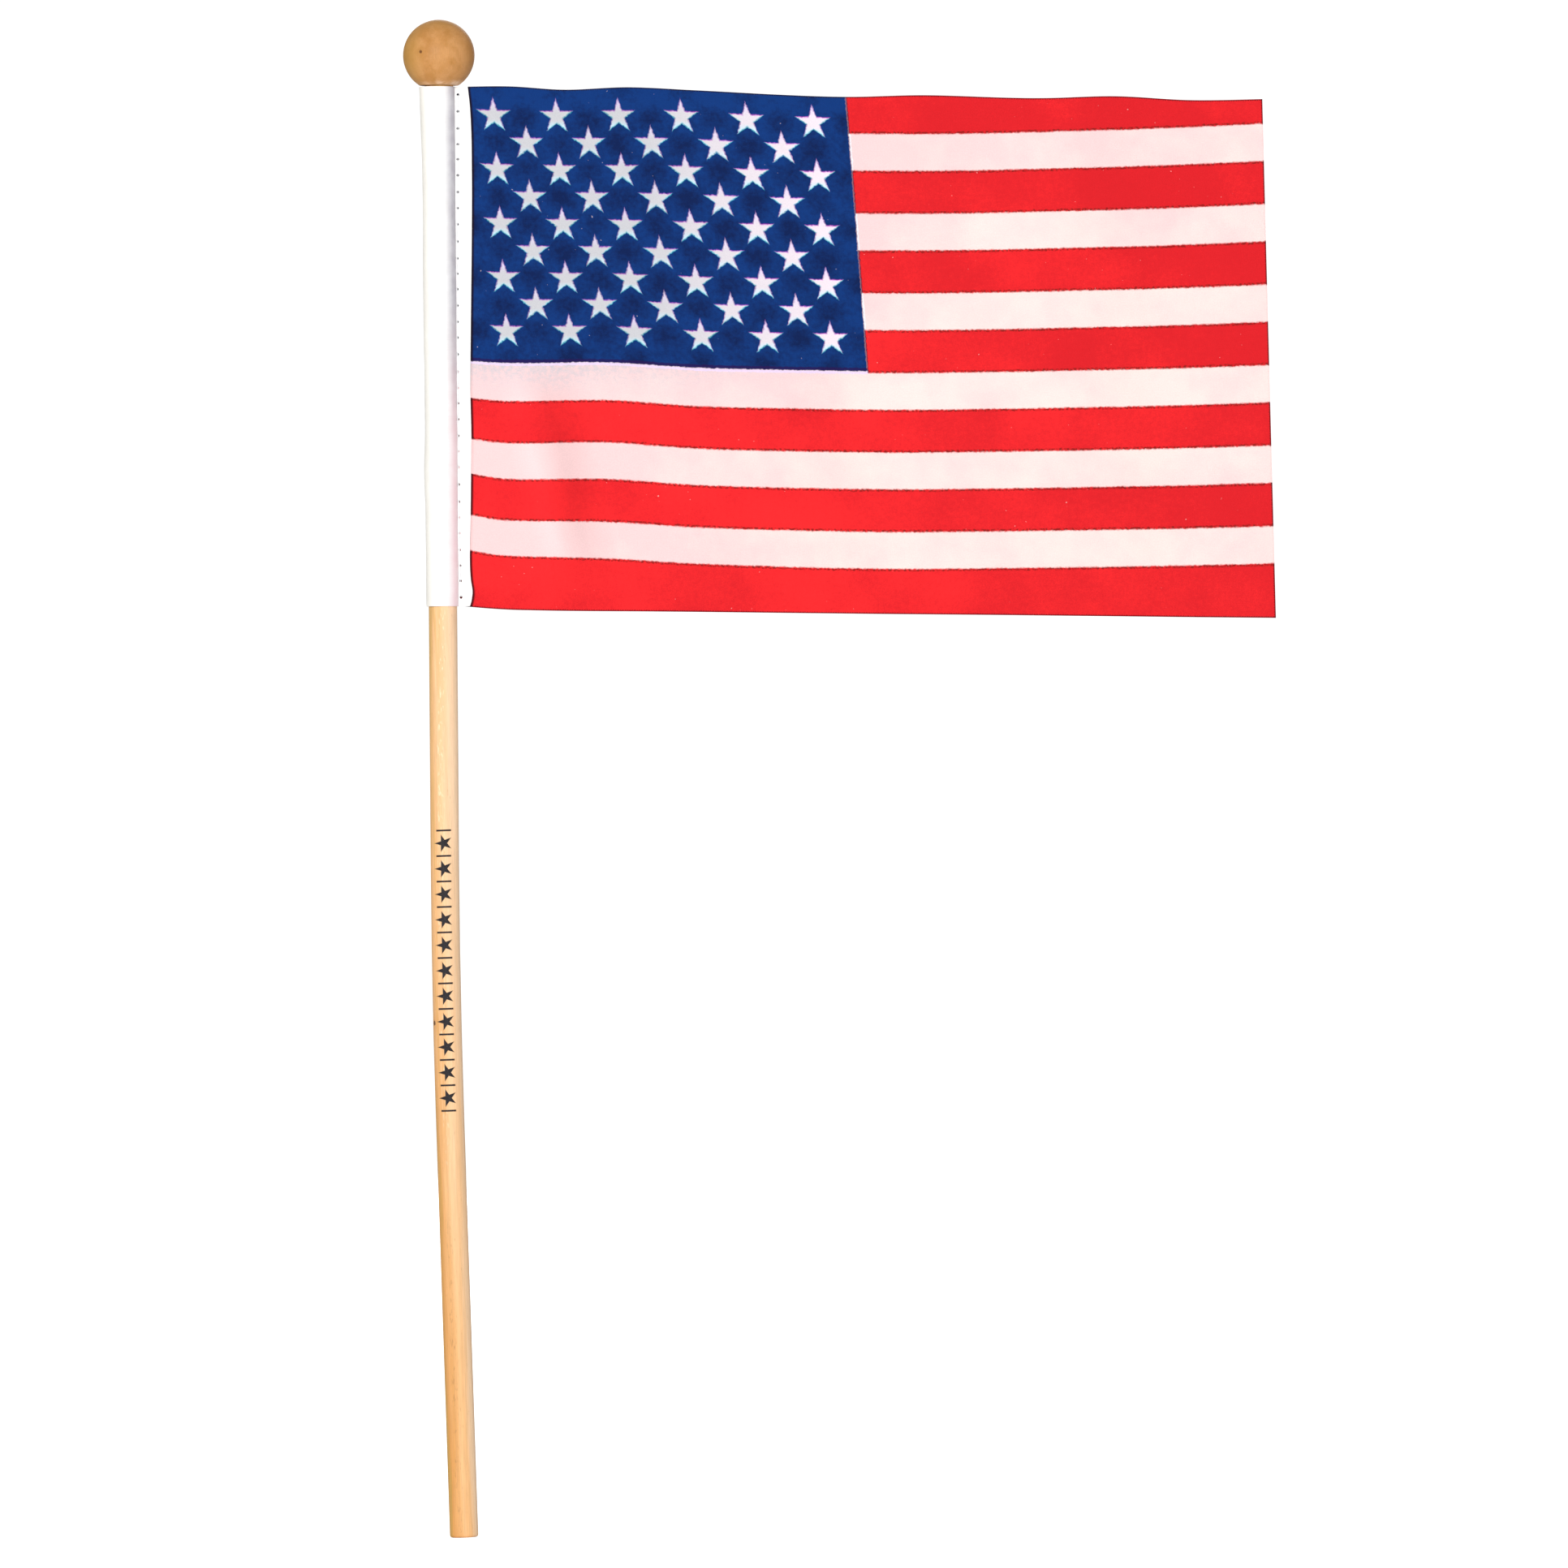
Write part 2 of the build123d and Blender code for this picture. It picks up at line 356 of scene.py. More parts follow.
def make_dowel_wood():
    material, tree, shader = new_material("sanded_birch")
    place = millimetres(tree)
    parts = add_node(tree, "SeparateXYZ", Vector=place).outputs
    grain = use_group(tree, wood_grain, Vector=place, Streak_Size=1.6, Ring_Gap=1.9)

    # The bow carries the stick's middle line towards the flag, so marks and tone follow it
    past_bow = maths(tree, "MAXIMUM", maths(tree, "SUBTRACT", parts["Z"], BOW_START), 0.0)
    bow = maths(tree, "DIVIDE", maths(tree, "POWER", past_bow, 2.0), 2 * BOW_RADIUS)
    across = maths(tree, "SUBTRACT", parts["X"], bow)
    side = spread(tree, across, -DOWEL_RADIUS, DOWEL_RADIUS)
    side = total(tree, side, spread(tree, grain["Streaks"], 0.0, 1.0, -0.2, 0.2))
    dark_side = blended(tree, spread(tree, parts["Z"], 150.0, 40.0), WARM_BIRCH, FOOT_BIRCH)
    pale_side = blended(tree, spread(tree, parts["Z"], 150.0, 30.0, 0.0, 0.95), PALE_BIRCH, WARM_BIRCH)
    # Painted light and shade: paler on the flag's side and peach at that edge, olive along the left edge
    colour = blended(tree, spread(tree, side, 0.05, 0.6), dark_side, pale_side)
    colour = blended(tree, spread(tree, side, 0.72, 1.05, 0.0, 0.8), colour, PAINTED_LIGHT_PEACH)
    colour = blended(tree, spread(tree, side, 0.12, -0.04, 0.0, 0.6), colour, PAINTED_SHADE_OLIVE)
    colour = blended(tree, spread(tree, grain["Rings"], 0.0, 1.0, 0.0, 0.16), colour, RING_BIRCH)
    fibre_tone = spread(tree, grain["Fibres"], 0.35, 0.65, 0.9, 1.08)
    colour = toned(tree, colour, fibre_tone)
    colour = blended(tree, spread(tree, grain["Pores"], 0.0, 1.0, 0.0, 0.4), colour, PORE_BROWN)

    # Short flecks stand in one streak, a little left of the middle: pale above, where they are painted
    # glints of the lamp, and brown by the foot
    streak = spread(tree, maths(tree, "ABSOLUTE", total(tree, across, 0.75)), 0.9, 0.2)
    fleck = spread(tree, noise(tree, stretched(tree, place, (1, 1, 0.25)), 2.6, 2.0), 0.56, 0.72)
    fleck = product(tree, streak, fleck)
    painted_glint = product(tree, fleck, spread(tree, parts["Z"], 60.0, 100.0, 0.0, 0.8))
    colour = blended(tree, painted_glint, colour, PAINTED_GLINT_PALE)
    brown_fleck = product(tree, fleck, spread(tree, parts["Z"], 80.0, 50.0, 0.0, 0.6))
    colour = blended(tree, brown_fleck, colour, PORE_BROWN)
    knot = use_group(tree, pin_knot, Vector=place, Centre=DOWEL_KNOT, Radius=0.55)
    colour = blended(tree, spread(tree, knot["Halo"], 0.0, 1.0, 0.0, 0.4), colour, FOOT_BIRCH)
    colour = blended(tree, knot["Core"], colour, BIRCH_KNOT)

    # Stars and bars by turns, printed on the face only, with the ink a little worn
    face = spread(tree, parts["Y"], -0.2, -0.4)
    past_first = maths(tree, "SUBTRACT", parts["Z"], FIRST_BAR)
    run = spread(tree, past_first, -0.5, -0.4)
    run = product(tree, run, spread(tree, past_first, ROW_LENGTH + 0.5, ROW_LENGTH + 0.4))
    from_start = maths(tree, "SUBTRACT", past_first, MARK_GAP / 2)
    star_up = maths(tree, "WRAP", from_start, MARK_GAP / 2, -MARK_GAP / 2)
    star_across = total(tree, across, 0.15)
    star = use_group(
        tree,
        five_point_star,
        X=star_up,
        Y=product(tree, star_across, -1.0),
        Radius=MARK_RADIUS,
        Softness=0.1,
    )
    bar_up = maths(tree, "WRAP", total(tree, from_start, MARK_GAP / 2), MARK_GAP / 2, -MARK_GAP / 2)
    bar = spread(tree, maths(tree, "ABSOLUTE", bar_up), BAR_WIDTH / 2 + 0.05, BAR_WIDTH / 2 - 0.05)
    bar_end = maths(tree, "SUBTRACT", maths(tree, "ABSOLUTE", star_across), BAR_HALF_LENGTH)
    bar = product(tree, bar, spread(tree, bar_end, 0.06, -0.06))
    marks = maths(tree, "MAXIMUM", star["Mask"], bar)
    worn = spread(tree, noise(tree, place, 4.0, 4.0), 0.30, 0.42, 0.9, 1.0)
    ink = product(tree, product(tree, marks, worn), product(tree, face, run))
    colour = blended(tree, ink, colour, BLACK_INK)
    roughness = spread(tree, grain["Fibres"], 0.3, 0.7, 0.5, 0.72)
    height = maths(tree, "SUBTRACT", grain["Fibres"], product(tree, grain["Pores"], 0.6))
    bump = add_node(tree, "Bump", Strength=0.35, Distance=0.06 * MM, Height=height)
    finish_shader(tree, shader, colour, roughness, 0.3, bump)
    return material


frame["nodes"]["dowel"].material_slots[0].material = make_dowel_wood()


# The ball is turned from a darker, softer wood and glued on the dowel's end. It has cloudy patches, a
# pin knot on its face, faint turning lines, and a pale bare rim round its mouth. Its outline is painted
# olive on the left and top and brown on the right, as painted shade where its round sides turn away.

BALL_TAN = (0.585, 0.275, 0.083, 1)
BALL_BROWN = (0.47, 0.205, 0.046, 1)
BALL_PEACH = (0.64, 0.325, 0.125, 1)
BALL_PAINTED_SHADE_OLIVE = (0.47, 0.25, 0.035, 1)
BALL_RIM = (0.80, 0.52, 0.32, 1)
DARK_KNOT = (0.13, 0.035, 0.012, 1)
BALL_KNOT = (-3.25, -6.1, 6.4)  # from the middle of the ball's mouth
TURNING_LINE = 0.28

turn = frame["joints"][0]
AXIS = Vector(turn["axis"]).normalized()
FLY = Vector((AXIS.z, 0, -AXIS.x))
pivot = Vector(turn["pos_m"])


def heights_on_axis(node):
    """A CAD node's lowest and highest place along the upper dowel, in metres from the pivot."""
    heights = [(v.co - pivot).dot(AXIS) for v in frame["nodes"][node].data.vertices]
    return min(heights), max(heights)


def make_ball_wood():
    material, tree, shader = new_material("turned_wood")
    mouth = pivot + AXIS * heights_on_axis("ball_finial")[0]
    place = millimetres(tree, mouth / MM)
    parts = add_node(tree, "SeparateXYZ", Vector=place).outputs
    grain = use_group(tree, wood_grain, Vector=place, Streak_Size=3.2, Ring_Gap=2.6)
    clouds = noise(tree, place, 0.33, 3.0, 0.6)
    colour = blended(tree, spread(tree, clouds, 0.38, 0.62), BALL_BROWN, BALL_PEACH)
    colour = blended(tree, spread(tree, grain["Streaks"], 0.0, 1.0, 0.25, 0.75), colour, BALL_TAN)
    fibre_tone = spread(tree, grain["Fibres"], 0.3, 0.7, 0.9, 1.08)
    colour = toned(tree, colour, fibre_tone)
    colour = blended(tree, spread(tree, grain["Rings"], 0.0, 1.0, 0.0, 0.18), colour, BALL_BROWN)
    knot = use_group(tree, pin_knot, Vector=place, Centre=BALL_KNOT, Radius=0.36)
    colour = blended(tree, spread(tree, knot["Halo"], 0.0, 1.0, 0.0, 0.5), colour, BALL_BROWN)
    colour = blended(tree, knot["Core"], colour, DARK_KNOT)
    # Painted shade: olive towards the left and top of the outline, and brown along the right rim
    painted_shade_outer_side = total(
        tree,
        spread(tree, parts["X"], -2.5, -7.0),
        spread(tree, parts["Z"], 10.0, 13.5, 0.0, 0.7),
    )
    colour = blended(tree, spread(tree, painted_shade_outer_side, 0.0, 1.1, 0.0, 0.8), colour, BALL_PAINTED_SHADE_OLIVE)
    colour = blended(tree, spread(tree, parts["X"], 5.2, 6.9, 0.0, 0.7), colour, BALL_BROWN)
    rim = spread(tree, total(tree, parts["Z"], noise(tree, place, 1.2, 3.0)), 0.75, 1.35, 1.0, 0.0)
    rim = product(tree, rim, spread(tree, noise(tree, place, 0.4, 2.0), 0.42, 0.6, 0.15, 0.9))
    colour = blended(tree, rim, colour, BALL_RIM)
    roughness = spread(tree, clouds, 0.3, 0.7, 0.48, 0.66)
    turning = maths(tree, "SINE", product(tree, parts["Z"], math.tau / TURNING_LINE))
    height = total(tree, product(tree, turning, 0.12), grain["Fibres"])
    bump = add_node(tree, "Bump", Strength=0.3, Distance=0.06 * MM, Height=height)
    finish_shader(tree, shader, colour, roughness, 0.3, bump)
    return material


frame["nodes"]["ball_finial"].material_slots[0].material = make_ball_wood()


# A thin cup of dried wood glue holds the dowel in the ball's bore. It is all but hidden.

GLUE_AMBER = (0.72, 0.60, 0.36, 1)
GLUE_PALE = (0.86, 0.78, 0.55, 1)


def make_glue():
    material, tree, shader = new_material("dried_glue")
    place = millimetres(tree)
    cloud = noise(tree, place, 1.5, 3.0)
    feed(tree, shader["Base Color"], blended(tree, cloud, GLUE_AMBER, GLUE_PALE))
    feed(tree, shader["Roughness"], spread(tree, cloud, 0.3, 0.7, 0.25, 0.5))
    bump = add_node(tree, "Bump", Strength=0.3, Distance=0.1 * MM, Height=cloud)
    feed(tree, shader["Normal"], bump.outputs["Normal"])
    return material


frame["nodes"]["finial_glue"].material_slots[0].material = make_glue()


# The flag is thin plain-weave cloth, printed with stripes and a starred canton and cut out a little
# askew to its print. Its hoist edge is held in the sleeve, and the rest hangs nearly flat, with slight
# ripples and a drooping fly end. The ink soaks through, so the back is only a little paler.

SLEEVE_LOW, SLEEVE_HIGH = heights_on_axis("pole_sleeve")
SLEEVE_HEIGHT = (SLEEVE_HIGH - SLEEVE_LOW) / MM
HOIST_REACH = 3.3
FLAG_CLOTH = 0.2
FLAG_CELL = 0.8
FLAG_WIDTH = 158.8

# (reach, height): reach is from the dowel's axis, height is above the sleeve's lower end
TOP_CUT = (
    (3, 101.6), (14, 101.6), (24, 100.9), (37, 101.3), (50, 100.6), (65, 99.6),
    (80, 99.05), (94, 99.3), (119, 98.5), (132, 98.8), (147, 97.95), (162, 98.1),
)
BOTTOM_CUT = (
    (3, 0.1), (7.5, -0.35), (13, -0.75), (19, -0.95),
    (40, -1.3), (85, -2.1), (130, -2.9), (163, -3.5),
)
FLY_TOP_REACH = 161.1
FLY_LEAN = 0.0176
# (height, reach) of the sleeve's free edge, which wanders over the flag
FLAP_EDGE = (
    (0, 5.3), (1, 5.6), (2.2, 5.8), (5, 5.5), (18, 5.55), (25, 5.67), (33, 5.8),
    (42, 5.68), (50, 5.78), (65, 6.05), (85, 6.29), (94, 6.2), (98, 5.98), (101.6, 5.6),
)

# The print, in millimetres along and up the cloth as it lay when it was printed
STRIPE_LOW = -1.6
STRIPE_PAIR = 15.575
RED_STRIPE = 8.45
CANTON_RIGHT = 79.8
CANTON_LOW = 45.5
CANTON_TOP = 98.9
CANTON_LEAN = 0.068
STAR_RADIUS = 3.2
FIRST_STAR = 10.9
STAR_PITCH = 12.46
TOP_STAR_ROW = 93.9
STAR_ROW_PITCH = 5.275
BEND_REACH = 94.5
EDGE_SOFTNESS = 0.32
INK_SLIP = 0.05
# Places where the cloth is pulled up: lift, reach, height, half-width, half-height
PULLS = ((0.9, 44, 101, 17, 25), (0.9, 32.4, 35, 12.5, 29), (1.0, 4.3, 21.6, 4.8, 22.6))

# The hanging cloth: how far each ripple swings, and its length towards the fly. A low bulge near the
# sleeve and a curl at the lower fly corner stand forward.
BROAD_SWING = 0.9
BROAD_LENGTH = 61
NARROW_SWING = 0.32
NARROW_LENGTH = 29
TWIST_SWING = 0.9
TWIST_LENGTH = 118
BULGE_HEIGHT = 1.5
BULGE_REACH = 21.5
CURL_HEIGHT = 0.8
LOOSE_FROM = 7
LOOSE_OVER = 45

# How far the print has risen at the hoist and at the fly end, with what is added at the bottom of the
# hoist and the top of the fly end; then its slip back across a wide slanting fold of the cloth
HOIST_RISE = 2.3
LOW_HOIST_RISE = 1.6
FLY_RISE = 0.4
HIGH_FLY_RISE = 1.1
FOLD_SLIP = 0.94
FOLD_LEAN = 0.55
FOLD_WIDTH = 26


def smooth_through(points):
    """A smooth curve through listed (place, value) points, as a function of place."""
    places, values = np.array(points, float).T
    slopes = np.gradient(values, places)

    def curve(place):
        i = np.clip(np.searchsorted(places, place) - 1, 0, len(places) - 2)
        span = places[i + 1] - places[i]
        t = np.clip((place - places[i]) / span, 0, 1)
        start = (1 + 2 * t) * (1 - t) ** 2 * values[i] + t * (1 - t) ** 2 * span * slopes[i]
        end = t**2 * (3 - 2 * t) * values[i + 1] + t**2 * (t - 1) * span * slopes[i + 1]
        return start + end

    return curve


def on_flag(reach, height, proud):
    """Points in metres: reach is towards the fly, height up the sleeve, and proud towards the back."""
    origin = pivot + AXIS * SLEEVE_LOW
    steps = np.outer(reach, FLY) + np.outer(height, AXIS) + np.outer(proud, (0, 1, 0))
    return np.array(origin) + steps * MM


def set_points(piece, points):
    piece.data.vertices.foreach_set("co", points.astype(np.float32).ravel())
    piece.data.update()


def grid_piece(name, across, up):
    """A flat grid of that many cells, as a new piece, with each vertex's place in it from 0 to 1."""
    bpy.ops.object.select_all(action="DESELECT")
    bpy.ops.mesh.primitive_grid_add(x_subdivisions=across, y_subdivisions=up, size=1)
    piece = bpy.context.object
    piece.name = name
    places = np.empty(len(piece.data.vertices) * 3, np.float32)
    piece.data.vertices.foreach_get("co", places)
    places = places.reshape(-1, 3).astype(float) + 0.5
    return piece, places[:, 0], places[:, 1]


def give_uv(piece, u, v):
    """Stores one (u, v) for each vertex in the piece's own UV map."""
    corners = np.empty(len(piece.data.loops), np.int32)
    piece.data.loops.foreach_get("vertex_index", corners)
    places = np.stack([u[corners], v[corners]], 1).astype(np.float32)
    piece.data.uv_layers.active.data.foreach_set("uv", places.ravel())


def ripple(reach, height):
    """How far the hanging cloth stands back from its flat plane; below 0 it stands forward."""
    loose = np.clip((reach - LOOSE_FROM) / LOOSE_OVER, 0, 1) ** 1.5
    broad = BROAD_SWING * np.sin(math.tau * (reach / BROAD_LENGTH - height / 420) - 0.6)
    narrow = NARROW_SWING * np.sin(math.tau * (reach / NARROW_LENGTH + height / 210) + 1.1)
    twist = TWIST_SWING * (height / 100 - 0.5) * np.sin(math.tau * reach / TWIST_LENGTH + 0.4)
    bulge = np.exp(-(((reach - BULGE_REACH) / 5) ** 2)) * np.exp(-(((height - 24) / 24) ** 2))
    curl = -CURL_HEIGHT * np.clip((reach - 140) / 22, 0, 1) ** 2 * np.clip(1 - height / 40, 0, 1)
    return loose * (broad + narrow + twist) - BULGE_HEIGHT * bulge + curl


def print_shift(reach, height):
    """How far the print is pulled towards the fly and up, out of its true place on the cloth."""
    left = HOIST_RISE + LOW_HOIST_RISE * (np.clip(50 - height, 0, 50) / 50) ** 2
    right = FLY_RISE + HIGH_FLY_RISE * height / 92
    to_left = np.clip((BEND_REACH - reach) / 85.7, 0, 2) ** 1.5
    to_right = np.clip((reach - BEND_REACH) / 65, 0, 2) ** 2
    rise = left * to_left + right * to_right - 0.2
    for lift, at_reach, at_height, half_width, half_height in PULLS:
        away = ((reach - at_reach) / half_width) ** 2 + ((height - at_height) / half_height) ** 2
        rise = rise + lift * np.exp(-away)
    from_fold = reach - 36 - FOLD_LEAN * (height - 75)
    along = 0.0034 * (reach - 45) - 0.22 - FOLD_SLIP * np.exp(-((from_fold / FOLD_WIDTH) ** 2))
    return along, rise


flag_cells = (round(FLAG_WIDTH / FLAG_CELL), round(SLEEVE_HEIGHT / FLAG_CELL))
flag, along, up = grid_piece("flag_cloth", *flag_cells)
fly_reach = FLY_TOP_REACH + FLY_LEAN * (CANTON_TOP - SLEEVE_HEIGHT * up)
reach = HOIST_REACH + (fly_reach - HOIST_REACH) * along
top_cut = smooth_through(TOP_CUT)(reach)
bottom_cut = smooth_through(BOTTOM_CUT)(reach)
height = bottom_cut + (top_cut - bottom_cut) * up
set_points(flag, on_flag(reach, height, ripple(reach, height)))
pulled_along, pulled_up = print_shift(reach, height)
print_across = reach - pulled_along - CANTON_LEAN * (CANTON_TOP - height)
print_up = height - pulled_up
give_uv(flag, print_across / FLAG_WIDTH, print_up / FLAG_WIDTH)

# Each vertex keeps its distances, in millimetres, from the fly end, the nearer cut edge and the sleeve
edges = flag.data.attributes.new("edges", "FLOAT_VECTOR", "POINT")
to_long_edge = np.minimum(top_cut - height, height - bottom_cut)
to_sleeve = reach - smooth_through(FLAP_EDGE)(height)
distances = np.stack([fly_reach - reach, to_long_edge, to_sleeve], 1)
edges.data.foreach_set("vector", distances.astype(np.float32).ravel())


def make_weave_group():
    """Plain weave: warp and weft threads that pass over and under each other."""
    tree, inputs, outputs = new_group(
        "plain_weave",
        {"Vector": "Vector", "Thread Pitch": "Float"},
        {"Height": "Float", "Slubs": "Float"},
    )
    parts = add_node(tree, "SeparateXYZ", Vector=inputs["Vector"]).outputs
    phase = [
        product(tree, maths(tree, "DIVIDE", parts[axis], inputs["Thread Pitch"]), math.pi)
        for axis in ("X", "Y")
    ]
    wave = [maths(tree, "SINE", angle) for angle in phase]
    crossing = product(tree, wave[0], wave[1])
    ridges = [maths(tree, "ABSOLUTE", w) for w in wave]
    ridge = product(tree, ridges[0], ridges[1])
    height = total(tree, product(tree, crossing, 0.35), ridge)
    warp_slub = noise(tree, stretched(tree, inputs["Vector"], (2.2, 0.06, 1)), 1.6, 3.0)
    weft_slub = noise(tree, stretched(tree, inputs["Vector"], (0.06, 2.2, 1)), 1.6, 3.0)
    hand_out(
        tree,
        outputs,
        Height=height,
        Slubs=maths(tree, "MAXIMUM", warp_slub, weft_slub),
    )
    return tree


def make_print_group():
    """The printed pattern in print millimetres: seven red stripes, and a blue canton of fifty stars."""
    tree, inputs, outputs = new_group(
        "stars_and_stripes",
        {"Vector": "Vector", "Edge Softness": "Float", "Slip": "Float"},
        {
            "Red": "Float",
            "Canton": "Float",
            "Stars": "Color",
            "Star Height": "Float",
            "Between Stars": "Float",
            "Inside Red": "Float",
            "Past Canton": "Float",
            "Under Canton": "Float",
            "Across": "Float",
            "Up": "Float",
        },
    )
    # Ink bleeds a little way along the threads, so every printed edge is slightly ragged
    rag = add_node(tree, "VectorMath", {"operation": "MULTIPLY_ADD"})
    rag_noise = add_node(tree, "TexNoise", Vector=inputs["Vector"], Scale=1.9, Detail=4.0)
    feed(tree, rag.inputs[0], rag_noise.outputs["Color"])
    feed(tree, rag.inputs[1], (0.5, 0.5, 0.0))
    feed(tree, rag.inputs[2], (-0.25, -0.25, 0.0))
    bled = add_node(tree, "VectorMath", {"operation": "ADD"})
    feed(tree, bled.inputs[0], inputs["Vector"])
    feed(tree, bled.inputs[1], rag.outputs["Vector"])
    parts = add_node(tree, "SeparateXYZ", Vector=bled.outputs["Vector"]).outputs
    across, up = parts["X"], parts["Y"]

    def inside(distance):
        """1 where distance is negative, with the print's soft edge."""
        share = maths(tree, "DIVIDE", distance, inputs["Edge Softness"])
        return spread(tree, maths(tree, "SUBTRACT", 0.5, share), 0.0, 1.0)

    from_red = maths(tree, "SUBTRACT", up, STRIPE_LOW + RED_STRIPE / 2)
    from_red = maths(tree, "ABSOLUTE", maths(tree, "WRAP", from_red, STRIPE_PAIR / 2, -STRIPE_PAIR / 2))
    red_distance = maths(tree, "SUBTRACT", from_red, RED_STRIPE / 2)
    below_print = maths(tree, "SUBTRACT", up, STRIPE_LOW + RED_STRIPE / 2)
    red_distance = maths(tree, "MINIMUM", red_distance, below_print)
    past_canton = maths(tree, "SUBTRACT", across, CANTON_RIGHT)
    under_canton = maths(tree, "SUBTRACT", CANTON_LOW, up)
    canton_distance = maths(tree, "MAXIMUM", past_canton, under_canton)

    limits = (
        maths(tree, "GREATER_THAN", across, FIRST_STAR),
        maths(tree, "LESS_THAN", across, FIRST_STAR + 5 * STAR_PITCH + 1),
        maths(tree, "GREATER_THAN", up, TOP_STAR_ROW - 8 * STAR_ROW_PITCH),
        maths(tree, "LESS_THAN", up, TOP_STAR_ROW),
    )

    def star_plate(slip):
        """The stars one ink leaves bare, where its plate stands that far too high."""
        masks, heights = [], []
        for shift in (0, 1):
            x = maths(tree, "SUBTRACT", across, FIRST_STAR + shift * STAR_PITCH / 2)
            y = maths(tree, "SUBTRACT", up, TOP_STAR_ROW - shift * STAR_ROW_PITCH)
            x = maths(tree, "WRAP", x, STAR_PITCH / 2, -STAR_PITCH / 2)
            y = maths(tree, "WRAP", maths(tree, "SUBTRACT", y, slip), STAR_ROW_PITCH, -STAR_ROW_PITCH)
            star = use_group(
                tree, five_point_star, X=x, Y=y, Radius=STAR_RADIUS, Softness=inputs["Edge Softness"]
            )
            masks.append(star["Mask"])
            heights.append(y)
        for limit in limits:
            masks[1] = product(tree, masks[1], limit)
        height = add_node(tree, "Mix", {"data_type": "FLOAT"}, Factor=masks[1], A=heights[0], B=heights[1])
        return maths(tree, "MAXIMUM", *masks), height.outputs["Result"]

    # The two inks of the canton stand a little apart: purple shows over each star, light blue under it
    cyan_plate, star_height = star_plate(inputs["Slip"])
    magenta_plate, _ = star_plate(product(tree, inputs["Slip"], -1.0))
    either_plate = maths(tree, "MAXIMUM", cyan_plate, magenta_plate)
    stars = add_node(tree, "CombineColor", Red=cyan_plate, Green=magenta_plate, Blue=either_plate)
    waves = []
    for place, first, period in ((across, FIRST_STAR, STAR_PITCH), (up, TOP_STAR_ROW, 2 * STAR_ROW_PITCH)):
        angle = product(tree, maths(tree, "SUBTRACT", place, first), math.tau / period)
        waves.append(maths(tree, "COSINE", angle))
    between_stars = product(tree, product(tree, *waves), -1.0)
    # No red runs under the canton, or it would show below the canton's foot
    over_canton = product(tree, inside(past_canton), spread(tree, under_canton, 3.5, 3.0))
    bare_canton = maths(tree, "SUBTRACT", 1.0, over_canton)
    hand_out(
        tree,
        outputs,
        Red=product(tree, inside(red_distance), bare_canton),
        Canton=inside(canton_distance),
        Stars=stars.outputs["Color"],
        Star_Height=star_height,
        Between_Stars=spread(tree, between_stars, 0.0, 0.9),
        Inside_Red=product(tree, red_distance, -1.0),
        Past_Canton=past_canton,
        Under_Canton=under_canton,
        Across=across,
        Up=up,
    )
    return tree


plain_weave = make_weave_group()
stars_and_stripes = make_print_group()

CREAM_WHITE = (0.90, 0.73, 0.69, 1)
PINK_WHITE = (0.89, 0.61, 0.61, 1)
LILAC_SHADE = (0.58, 0.54, 0.58, 1)
LILAC_LINE = (0.76, 0.62, 0.88, 1)
ICE_LINE = (0.76, 0.86, 0.95, 1)
RED_INK = (0.88, 0.022, 0.026, 1)
DEEP_AND_SHADED_RED = (0.66, 0.014, 0.020, 1)
DARK_RED = (0.24, 0.012, 0.010, 1)
BLUE_INK = (0.0046, 0.036, 0.180, 1)
DEEP_BLUE = (0.0035, 0.0145, 0.080, 1)
STAR_GREY = (0.55, 0.55, 0.58, 1)
STAR_WHITE = (0.84, 0.73, 0.80, 1)
STAR_TIP = (0.70, 0.58, 0.84, 1)
STAR_FEET = (0.50, 0.78, 0.90, 1)
OVERPRINT = (0.035, 0.004, 0.030, 1)
VIOLET_FOOT = (0.018, 0.006, 0.070, 1)
BURNT_EDGE_AND_SHADOW_DARK = (0.010, 0.004, 0.006, 1)


def blended_by_channel(tree, factors, first, second):
    """As blended, with a factor of its own for red, green and blue."""
    node = add_node(tree, "Mix", {"data_type": "VECTOR", "factor_mode": "NON_UNIFORM"})
    for socket, value in zip([s for s in node.inputs if s.type == "VECTOR"], (factors, first, second)):
        feed(tree, socket, value)
    return next(s for s in node.outputs if s.type == "VECTOR")


def band(tree, value, middle, half_width, soft=0.08):
    """1 where value lies within half_width of middle."""
    away = maths(tree, "ABSOLUTE", maths(tree, "SUBTRACT", value, middle))
    return spread(tree, away, half_width + soft, half_width - soft)


# Pitches of the threads and of the cutter's teeth, in millimetres; then the soft crease, painted in light
# and shade: how much it leans, and how far along the print the middles of its painted lit and shaded
# slopes lie
FLAG_THREAD_PITCH = 0.27
CUTTER_TOOTH = 0.46
CREASE_LEAN = 0.15
PAINTED_LIT_SLOPE = 18.4
PAINTED_SHADED_SLOPE = 24.0


